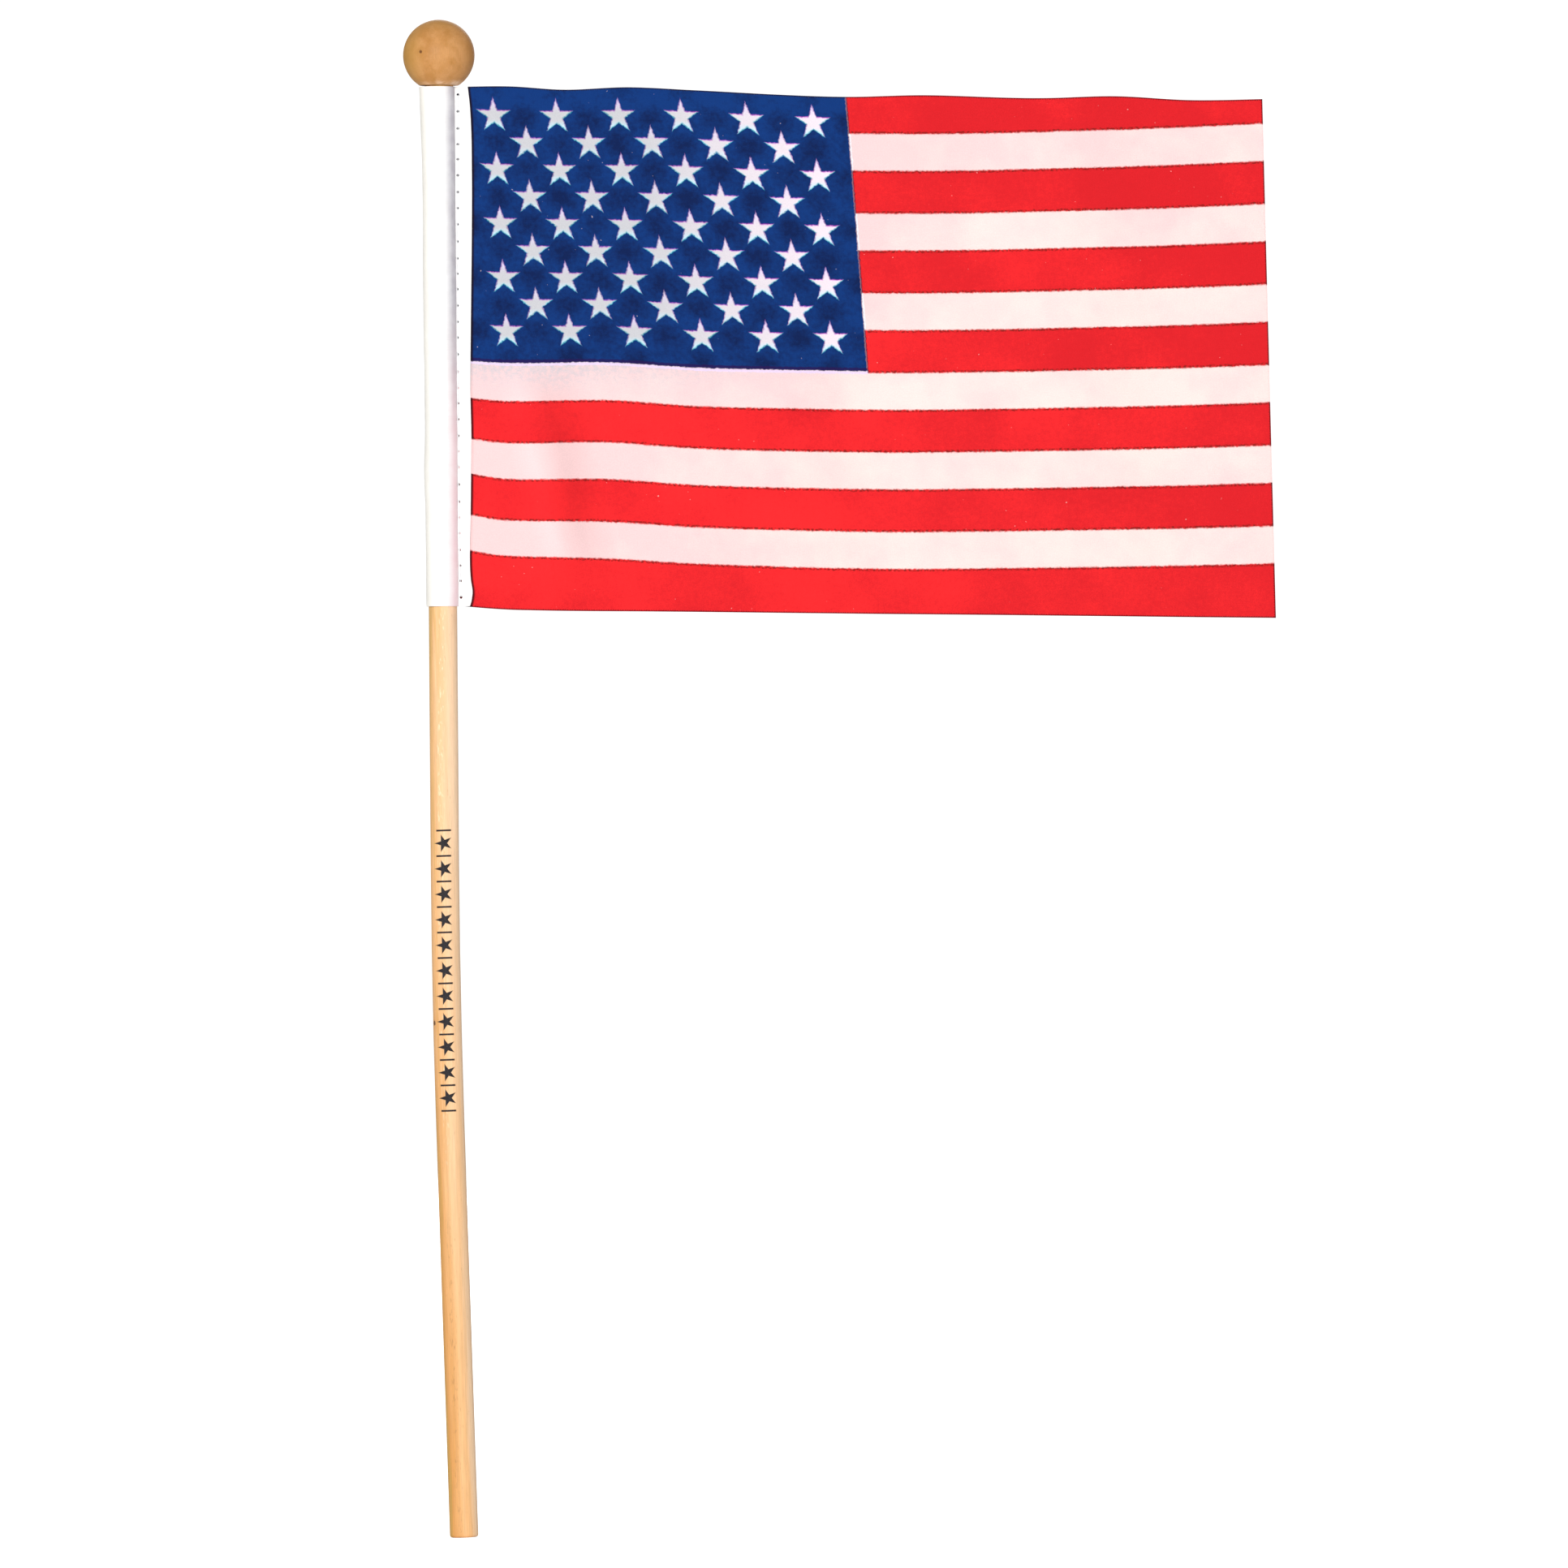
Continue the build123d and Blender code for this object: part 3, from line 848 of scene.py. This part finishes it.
def make_flag_cloth(name, paleness):
    """The printed cloth; paleness is how much less ink shows on this face."""
    material, tree, shader = new_material(name)
    uv = add_node(tree, "UVMap", {"uv_map": flag.data.uv_layers.active.name}).outputs["UV"]
    place = stretched(tree, uv, (FLAG_WIDTH, FLAG_WIDTH, 1))
    printed = use_group(tree, stars_and_stripes, Vector=place, Edge_Softness=EDGE_SOFTNESS, Slip=INK_SLIP)
    weave = use_group(tree, plain_weave, Vector=place, Thread_Pitch=FLAG_THREAD_PITCH)
    clouds = noise(tree, place, 0.035, 2.0)
    patches = noise(tree, place, 0.16, 3.0)
    mottle = noise(tree, place, 1.1, 4.0, 0.65)
    grain = spread(tree, noise(tree, place, 3.6, 2.0, 0.7), 0.3, 0.7, -0.5, 0.5)

    # White cloth: pinker by the sleeve, with a lilac tint under the canton
    by_canton = spread(tree, printed["Past Canton"], 14.0, 1.0, 0.0, 0.3)
    pink = total(
        tree,
        spread(tree, printed["Across"], 75.0, 0.0, 0.0, 0.7),
        clouds,
        product(tree, patches, 0.7),
        product(tree, by_canton, spread(tree, printed["Under Canton"], 3.0, -3.0)),
        spread(tree, printed["Up"], 55.0, 95.0, 0.0, 0.3),
    )
    white = blended(tree, spread(tree, pink, 0.72, 1.22), CREAM_WHITE, PINK_WHITE)
    shade = product(
        tree,
        spread(tree, printed["Under Canton"], 7.5, 0.5, 0.0, 0.9),
        spread(tree, printed["Across"], 90.0, 20.0),
        spread(tree, mottle, 0.36, 0.6, 0.3, 1.0),
    )
    white = blended(tree, shade, white, LILAC_SHADE)

    # Red ink: darker towards the fly end and the top, which is painted shade, and in uneven patches; and
    # deeper along each printed edge
    ink_depth_and_shade = total(
        tree,
        spread(tree, printed["Across"], 60.0, 165.0, 0.0, 0.22),
        clouds,
        spread(tree, printed["Up"], 30.0, 95.0, 0.0, 0.16),
        product(tree, patches, 0.35),
        product(tree, mottle, 0.45),
        product(tree, grain, 0.3),
    )
    red = blended(tree, spread(tree, ink_depth_and_shade, 0.77, 1.16), RED_INK, DEEP_AND_SHADED_RED)
    ragged = spread(tree, noise(tree, place, 2.0, 2.0), 0.42, 0.58, 0.15, 0.95)
    red_edge = product(tree, band(tree, printed["Inside Red"], 0.25, 0.25), ragged)
    red = blended(tree, red_edge, red, DARK_RED)
    stripes = blended(tree, printed["Red"], white, red)

    # Blue ink: darker between the stars, and brighter above them
    dark = total(
        tree,
        spread(tree, mottle, 0.35, 0.65, 0.0, 0.55),
        product(tree, grain, 0.2),
        product(tree, printed["Between Stars"], 0.55),
    )
    dark = maths(tree, "SUBTRACT", dark, spread(tree, printed["Up"], 92.0, 100.0, 0.0, 0.5))
    dark = total(tree, dark, spread(tree, patches, 0.35, 0.65, -0.25, 0.25))
    blue = blended(tree, spread(tree, dark, 0.0, 1.0), BLUE_INK, DEEP_BLUE)
    star = blended(tree, spread(tree, printed["Across"], 40.0, 75.0), STAR_GREY, STAR_WHITE)
    star = blended(tree, spread(tree, printed["Star Height"], 0.8, 2.6, 0.0, 0.7), star, STAR_TIP)
    star = blended(tree, spread(tree, printed["Star Height"], -0.8, -2.2, 0.0, 0.7), star, STAR_FEET)
    canton = blended_by_channel(tree, printed["Stars"], blue, star)
    colour = blended(tree, printed["Canton"], stripes, canton)

    # Canton and stripes overlap in a dark line on red, and leave a pale line on white
    above_low = spread(tree, printed["Under Canton"], 0.3, 0.0)
    overlap = product(tree, band(tree, printed["Past Canton"], 0.0, 0.25), printed["Red"], above_low)
    colour = blended(tree, product(tree, overlap, 0.9), colour, OVERPRINT)
    left_of_edge = spread(tree, printed["Past Canton"], 0.2, 0.0)
    canton_foot = product(tree, band(tree, printed["Under Canton"], -0.35, 0.3), left_of_edge, 0.8)
    colour = blended(tree, canton_foot, colour, VIOLET_FOOT)
    on_white = maths(tree, "SUBTRACT", 1.0, printed["Red"])
    pale_side = product(tree, band(tree, printed["Past Canton"], 0.22, 0.12), on_white, above_low)
    colour = blended(tree, product(tree, pale_side, 0.8), colour, ICE_LINE)
    pale_foot = product(tree, band(tree, printed["Under Canton"], 0.3, 0.25), left_of_edge, 0.8)
    colour = blended(tree, pale_foot, colour, LILAC_LINE)

    # The hot cutter leaves fine dark teeth along the cut edges. Along the sleeve's free edge a dark line is
    # painted shadow, where the cloth dips under the flap
    inked = maths(tree, "MAXIMUM", printed["Red"], printed["Canton"])
    stored = add_node(tree, "Attribute", {"attribute_name": "edges"}).outputs["Vector"]
    edge = add_node(tree, "SeparateXYZ", Vector=stored)
    to_fly, to_long_edge, to_sleeve = edge.outputs["X"], edge.outputs["Y"], edge.outputs["Z"]
    for to_edge, along in ((to_fly, printed["Up"]), (to_long_edge, printed["Across"])):
        tooth = maths(tree, "ABSOLUTE", maths(tree, "SINE", product(tree, along, math.pi / CUTTER_TOOTH)))
        to_tooth = maths(tree, "SUBTRACT", to_edge, product(tree, tooth, 0.16))
        burnt = product(tree, spread(tree, to_tooth, 0.22, 0.08), spread(tree, inked, 0.0, 1.0, 0.08, 0.7))
        colour = blended(tree, burnt, colour, BURNT_EDGE_AND_SHADOW_DARK)
    # Painted shadow under the sleeve's free edge
    flap_shadow_painted = product(tree, spread(tree, to_sleeve, 0.6, 0.3), spread(tree, inked, 0.0, 1.0, 0.1, 0.9))
    colour = blended(tree, flap_shadow_painted, colour, BURNT_EDGE_AND_SHADOW_DARK)

    speck = spread(tree, noise(tree, place, 1.35, 1.0), 0.775, 0.81, 0.0, 0.35)
    colour = blended(tree, speck, colour, CREAM_WHITE)

    # Painted light and shade of a soft crease down the lower stripes near the sleeve: a painted highlight
    # on one side, and painted shade on the other
    across_crease = total(tree, printed["Across"], product(tree, printed["Up"], CREASE_LEAN))

    def slope(middle, half_width, strength):
        """One painted slope of the crease: strongest along its middle, and gone half_width away."""
        away = maths(tree, "ABSOLUTE", maths(tree, "SUBTRACT", across_crease, middle))
        return spread(tree, away, half_width, 0.0, 0.0, strength)

    painted_crease_shading = product(
        tree,
        maths(tree, "SUBTRACT", slope(PAINTED_LIT_SLOPE, 4.5, 0.09), slope(PAINTED_SHADED_SLOPE, 6.5, 0.11)),
        spread(tree, printed["Up"], 46.0, 38.0),
        spread(tree, printed["Up"], 2.0, 9.0),
    )
    colour = toned(tree, colour, total(tree, 1.0, painted_crease_shading, product(tree, grain, 0.09)))
    colour = blended(tree, paleness, colour, CREAM_WHITE)
    roughness = spread(tree, weave["Slubs"], 0.4, 0.7, 0.78, 0.92)
    shader["Sheen Weight"].default_value = 0.03
    shader["Sheen Roughness"].default_value = 0.6
    threads = total(tree, weave["Height"], weave["Slubs"])
    bump = add_node(tree, "Bump", Strength=0.25, Distance=0.05 * MM, Height=threads)
    crinkle = add_node(tree, "Bump", Strength=0.35, Distance=0.5 * MM, Height=noise(tree, place, 0.22, 3.0))
    feed(tree, crinkle.inputs["Normal"], bump.outputs["Normal"])
    finish_shader(tree, shader, colour, roughness, 0.06, crinkle)
    return material


SHARP_EDGE = math.radians(50)
BACK_PALENESS = 0.10


def select_only(piece):
    bpy.ops.object.select_all(action="DESELECT")
    piece.select_set(True)
    bpy.context.view_layer.objects.active = piece


def solidify(piece, thickness, back_material=False):
    """Gives a sheet its thickness, half to each side, and a second material on its back."""
    wall = piece.modifiers.new("cloth", "SOLIDIFY")
    wall.thickness = thickness * MM
    wall.offset = 0.0
    wall.material_offset = 1 if back_material else 0
    select_only(piece)
    bpy.ops.object.modifier_apply(modifier=wall.name)
    bpy.ops.object.shade_smooth_by_angle(angle=SHARP_EDGE)


flag.data.materials.append(make_flag_cloth("printed_cloth_front", 0.0))
flag.data.materials.append(make_flag_cloth("printed_cloth_back", BACK_PALENESS))
solidify(flag, FLAG_CLOTH, back_material=True)
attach(flag, "flag")
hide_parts("flag_field")


# The sleeve is an inch-wide strip of white cloth, folded round the dowel and closed on the flag's
# hoist edge. One row of lockstitch runs through both flaps, and each needle hole shows a dot of the
# print below. The strip is slacker at its top, and its free edges wander.

STRIP_WIDTH = 25.4
SLEEVE_CLOTH = 0.25
LOOP_RADIUS = 2.95
CREASE_REACH = 2.96
FLAP_OUT = FLAG_CLOTH / 2 + SLEEVE_CLOTH / 2
LOOP_CELLS = 20
WEDGE_CELLS = 3
CREASE_CELLS = 2
FLAP_CELLS = 10
HALF_CELLS = LOOP_CELLS + WEDGE_CELLS + CREASE_CELLS + FLAP_CELLS
STITCH_COUNT = 31
CELLS_PER_STITCH = 10
STITCH_PITCH = 3.175
HOLE_RADIUS = 0.29
SEAM_MARGIN = (SLEEVE_HEIGHT - STITCH_COUNT * STITCH_PITCH) / 2

# (height, reach) of the stitches, and (height, slack) of the loop on its side away from the flag
STITCH_PLACES = (
    (0, 3.6), (4, 3.5), (18, 3.3), (40, 3.25), (54, 3.24),
    (66, 3.28), (82, 3.5), (92, 3.6), (102, 3.7),
)
SLACK_PLACES = (
    (0, 0.15), (20, 0.25), (26, 0.42), (32, 0.25), (60, 0.35),
    (80, 0.3), (88, 0.42), (98, 0.7), (101.6, 0.85),
)
STITCH_LINE = smooth_through(STITCH_PLACES)
LOOP_SLACK = smooth_through(SLACK_PLACES)


def stitch_height(height):
    """Where a height of the even row of stitches really lies: the feed was not quite regular."""
    return height + 0.14 * np.sin(height / 4.1 + 0.5) + 0.1 * np.sin(height / 1.9)


def row_heights():
    """Heights of the strip's rows: evenly spaced, so that a row falls on every needle hole."""
    row_gap = STITCH_PITCH / CELLS_PER_STITCH
    margin_rows = max(2, round(SEAM_MARGIN / row_gap))
    low = np.linspace(0, SEAM_MARGIN, margin_rows + 1)[:-1]
    middle = SEAM_MARGIN + row_gap * np.arange(STITCH_COUNT * CELLS_PER_STITCH + 1)
    high = np.linspace(middle[-1], SLEEVE_HEIGHT, margin_rows + 1)[1:]
    return np.concatenate([low, middle, high]), margin_rows


rows, margin_rows = row_heights()
sleeve, across, up = grid_piece("sleeve_cloth", 2 * HALF_CELLS, len(rows) - 1)
row = np.rint(up * (len(rows) - 1)).astype(int)
column = np.rint(across * 2 * HALF_CELLS).astype(int) - HALF_CELLS
side = np.where(column < 0, -1.0, 1.0)
step = np.abs(column)
height = rows[row]

# Round the dowel, from the far side to where the cloth leaves it, and straight on to the crease
leaving = math.atan2(FLAP_OUT, CREASE_REACH) + math.acos(LOOP_RADIUS / math.hypot(CREASE_REACH, FLAP_OUT))
angle = math.pi - (math.pi - leaving) * np.clip(step / LOOP_CELLS, 0, 1)
dents = 0.035 * np.sin(height / 2.9 + 2.1 * angle * side) * np.sin(height / 7.7 - 1.3 * angle * side)
loop = LOOP_RADIUS + LOOP_SLACK(height) * np.clip(-np.cos(angle), 0, 1) + np.maximum(dents, -0.03)
reach = loop * np.cos(angle)
out = loop * np.sin(angle)
down = np.clip((step - LOOP_CELLS) / WEDGE_CELLS, 0, 1)
reach = reach + (CREASE_REACH - reach) * down
out = out + (FLAP_OUT - out) * down

# Out to the stitch line, and on to the wandering free edge, which lifts a little
stitch = STITCH_LINE(height)
edge = smooth_through(FLAP_EDGE)(height) - 0.2 * (side > 0)
to_stitch = np.clip((step - LOOP_CELLS - WEDGE_CELLS) / CREASE_CELLS, 0, 1)
to_edge = np.clip((step - LOOP_CELLS - WEDGE_CELLS - CREASE_CELLS) / FLAP_CELLS, 0, 1)
reach = np.where(to_stitch > 0, CREASE_REACH + (stitch - CREASE_REACH) * to_stitch, reach)
reach = np.where(to_edge > 0, stitch + (edge - stitch) * to_edge, reach)
phase = (height - SEAM_MARGIN) / STITCH_PITCH * math.tau
between_holes = 0.5 - 0.5 * np.cos(phase)
near_seam = np.exp(-(((reach - stitch) / 0.55) ** 2)) * (step > LOOP_CELLS)
out = out + near_seam * (0.07 * between_holes - 0.02)
out = out + to_edge**2 * (0.10 + 0.05 * np.sin(height / 6.1) + 0.03 * np.sin(height / 2.3))


def ring_round(centre_step, centre_row):
    """Which vertices stand round one needle hole."""
    near = (np.abs(step - centre_step) <= 1) & (np.abs(row - centre_row) <= 1)
    return near & ~((step == centre_step) & (row == centre_row))


# Each needle hole is a square of four cells with its eight outer vertices drawn on to a circle
stitch_step = LOOP_CELLS + WEDGE_CELLS + CREASE_CELLS
hole_rows = [margin_rows + CELLS_PER_STITCH * i for i in range(STITCH_COUNT + 1)]
for hole_row in hole_rows:
    ring = ring_round(stitch_step, hole_row)
    away = np.arctan2(row[ring] - hole_row, step[ring] - stitch_step)
    reach[ring] = stitch[ring] + HOLE_RADIUS * np.cos(away)
    height[ring] = rows[hole_row] + HOLE_RADIUS * np.sin(away)
    out[ring] -= 0.03
inner_rows = np.clip(np.minimum(height, SLEEVE_HEIGHT - height) / SEAM_MARGIN, 0, 1)
height = height + inner_rows * (stitch_height(height) - height)

set_points(sleeve, on_flag(reach, height, out * side))

# One row's own length, from the loop's outer side to each column, tells how the weave lies
between_stitches = row == margin_rows + CELLS_PER_STITCH // 2
one_row = np.argsort(column[between_stitches])
bends = np.stack([reach, out * side], 1)[between_stitches][one_row]
along_row = np.concatenate([[0], np.cumsum(np.hypot(*np.diff(bends, axis=0).T))])
lengths = along_row - along_row[HALF_CELLS]
give_uv(sleeve, lengths[column + HALF_CELLS] / STRIP_WIDTH + 0.5, height / STRIP_WIDTH)

# The middle vertex of each needle hole goes, and its four cells with it
select_only(sleeve)
bpy.ops.object.mode_set(mode="EDIT")
bpy.ops.mesh.select_mode(type="VERT")
bpy.ops.mesh.select_all(action="DESELECT")
bpy.ops.object.mode_set(mode="OBJECT")
sleeve.data.vertices.foreach_set("select", (step == stitch_step) & np.isin(row, hole_rows))
bpy.ops.object.mode_set(mode="EDIT")
bpy.ops.mesh.delete(type="VERT")
bpy.ops.object.mode_set(mode="OBJECT")


CLEAN_WHITE = (0.95, 0.945, 0.94, 1)
SOILED_WHITE = (0.90, 0.885, 0.87, 1)
SLUB_GREY = (0.82, 0.81, 0.82, 1)
OUTER_SIDE_CREAM = (0.98, 0.93, 0.80, 1)
PAINTED_SHADE_GREY = (0.52, 0.49, 0.54, 1)
PAINTED_SHADE_PINK = (0.92, 0.71, 0.75, 1)
SLEEVE_THREAD_PITCH = 0.22


def make_sleeve_cloth():
    material, tree, shader = new_material("white_strip")
    uv = add_node(tree, "UVMap", {"uv_map": sleeve.data.uv_layers.active.name}).outputs["UV"]
    place = stretched(tree, uv, (STRIP_WIDTH, STRIP_WIDTH, 1))
    weave = use_group(tree, plain_weave, Vector=place, Thread_Pitch=SLEEVE_THREAD_PITCH)
    soil = noise(tree, place, 0.25, 4.0)
    colour = blended(tree, spread(tree, soil, 0.35, 0.7), CLEAN_WHITE, SOILED_WHITE)
    colour = blended(tree, spread(tree, weave["Slubs"], 0.55, 0.75, 0.0, 0.35), colour, SLUB_GREY)

    # The loop's outer side is a little creamy. By the seam, where the loop turns away from the lamp into
    # the crease, it is painted shade: greyer high up and pinker lower down
    parts = add_node(tree, "SeparateXYZ", Vector=place).outputs
    from_outer_side = maths(tree, "ABSOLUTE", maths(tree, "SUBTRACT", parts["X"], STRIP_WIDTH / 2))
    cream = spread(tree, total(tree, from_outer_side, soil), 5.2, 2.0, 0.0, 0.5)
    colour = blended(tree, cream, colour, OUTER_SIDE_CREAM)
    # Painted shade by the seam: greyer high up and pinker lower down
    painted_seam_shade = product(
        tree,
        spread(tree, from_outer_side, 5.7, 7.4),
        spread(tree, from_outer_side, 9.2, 8.8),
        spread(tree, soil, 0.3, 0.6, 0.6, 0.9),
    )
    tint = blended(tree, spread(tree, parts["Y"], 60.0, 30.0), PAINTED_SHADE_GREY, PAINTED_SHADE_PINK)
    colour = blended(tree, painted_seam_shade, colour, tint)
    roughness = spread(tree, weave["Slubs"], 0.4, 0.7, 0.75, 0.9)
    shader["Sheen Weight"].default_value = 0.08
    shader["Sheen Roughness"].default_value = 0.5
    threads = total(tree, weave["Height"], weave["Slubs"])
    bump = add_node(tree, "Bump", Strength=0.3, Distance=0.05 * MM, Height=threads)
    finish_shader(tree, shader, colour, roughness, 0.15, bump)
    return material


sleeve.data.materials.append(make_sleeve_cloth())
solidify(sleeve, SLEEVE_CLOTH)
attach(sleeve, "flag")
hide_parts("pole_sleeve")


# Two white sewing threads make the lockstitch: the needle's on the front and the bobbin's on the
# back. Each lies along the flap from hole to hole, and dips into every hole to meet the other.

THREAD_RADIUS = 0.07
THREAD_LEG = 0.08
THREAD_SIDES = 2
THREAD_WHITE = (0.92, 0.92, 0.92, 1)
THREAD_GREY = (0.80, 0.80, 0.82, 1)


def sew_thread(name, side):
    """One continuous thread on the front (-1) or the back (1), as a round tube through its stitches."""
    surface = FLAP_OUT + SLEEVE_CLOTH / 2 + THREAD_RADIUS
    # (distance past the lower hole, distance out from the cloth's middle)
    half_stitch = (
        (THREAD_LEG, 0.10),
        (THREAD_LEG, surface - 0.14),
        (THREAD_LEG + 0.05, surface - 0.03),
        (THREAD_LEG + 0.30, surface + 0.03),
        (STITCH_PITCH / 2 - 0.5, surface + 0.06),
    )
    route = []
    for i in range(STITCH_COUNT):
        hole = SEAM_MARGIN + STITCH_PITCH * i
        route += [(hole + past, out) for past, out in half_stitch]
        route += [(hole + STITCH_PITCH - past, out) for past, out in reversed(half_stitch)]
    heights, outs = np.array(route).T
    points = on_flag(STITCH_LINE(heights), stitch_height(heights), outs * side)
    curve = bpy.data.curves.new(name, "CURVE")
    curve.dimensions = "3D"
    spline = curve.splines.new("NURBS")
    spline.points.add(len(points) - 1)
    spline.points.foreach_set("co", np.hstack([points, np.ones((len(points), 1))]).ravel())
    spline.order_u = 3
    spline.use_endpoint_u = True
    spline.resolution_u = 3
    curve.bevel_depth = THREAD_RADIUS * MM
    curve.bevel_resolution = THREAD_SIDES
    curve.use_fill_caps = True
    thread = bpy.data.objects.new(name, curve)
    scene.collection.objects.link(thread)
    select_only(thread)
    bpy.ops.object.convert(target="MESH")
    bpy.ops.object.shade_smooth()
    return bpy.context.object


def make_thread_material():
    material, tree, shader = new_material("white_thread")
    place = millimetres(tree)
    fuzz = noise(tree, place, 9.0, 3.0)
    diagonal = {"bands_direction": "DIAGONAL"}
    twist = add_node(tree, "TexWave", diagonal, Vector=place, Scale=3.0, Distortion=0.6)
    colour = blended(tree, spread(tree, fuzz, 0.35, 0.65), THREAD_WHITE, THREAD_GREY)
    roughness = spread(tree, fuzz, 0.3, 0.7, 0.5, 0.7)
    bump = add_node(tree, "Bump", Strength=0.5, Distance=0.03 * MM, Height=twist.outputs["Fac"])
    finish_shader(tree, shader, colour, roughness, 0.3, bump)
    return material


thread_material = make_thread_material()
for name, node, side in (("front_thread", "needle_thread", -1), ("back_thread", "bobbin_thread", 1)):
    thread = sew_thread(name, side)
    thread.data.materials.clear()
    thread.data.materials.append(thread_material)
    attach(thread, "flag")
    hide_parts(node)
